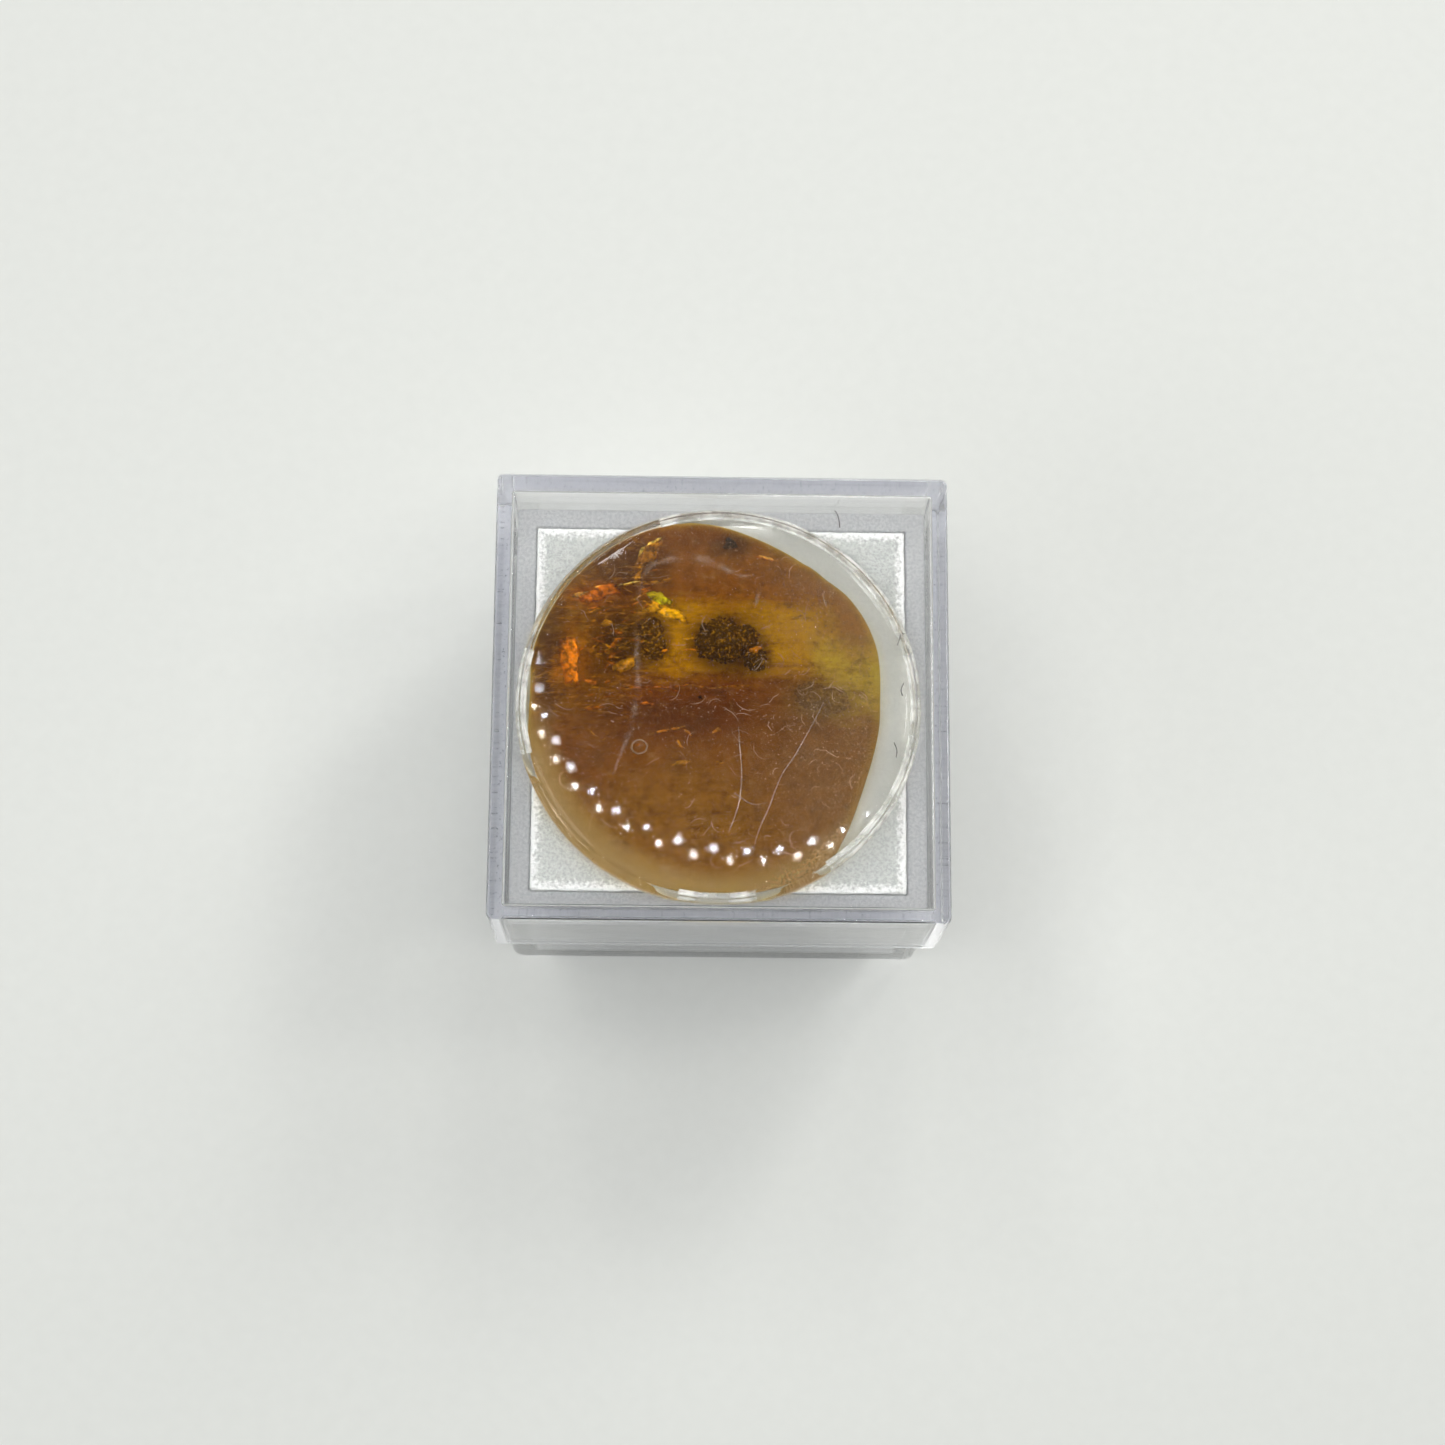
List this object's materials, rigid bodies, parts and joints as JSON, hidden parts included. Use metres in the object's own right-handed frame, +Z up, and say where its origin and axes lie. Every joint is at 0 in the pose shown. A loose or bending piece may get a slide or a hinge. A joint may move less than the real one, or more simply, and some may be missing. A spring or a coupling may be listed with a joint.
{
  "type": "amber specimen in a gem box",
  "caption": "Amber piece with dark inclusions set in a low domed disc of clear resin, resting on a white foam pad in a clear square lidded gem box.",
  "frame": {"origin": "middle of the base's underside", "axes": "+Z up through the box, +Y to the back of the box, +X to the right"},
  "size_m": [0.03, 0.03, 0.0203],
  "materials": {
    "clear_plastic": "clear polished polystyrene",
    "white_foam": "white fine-celled foam",
    "clear_resin": "clear cast resin, polished dome",
    "amber": "clear golden to red-brown amber",
    "dark_clot": "dull dark crumb"
  },
  "bodies": {
    "root": {"box_lid": "clear_plastic", "box_base": "clear_plastic", "foam_pad": "white_foam", "resin_disc": "clear_resin", "amber_upper": "amber", "amber_lower": "amber", "clot_large": "dark_clot", "clot_left": "dark_clot", "clot_right": "dark_clot"}
  },
  "joints": []
}
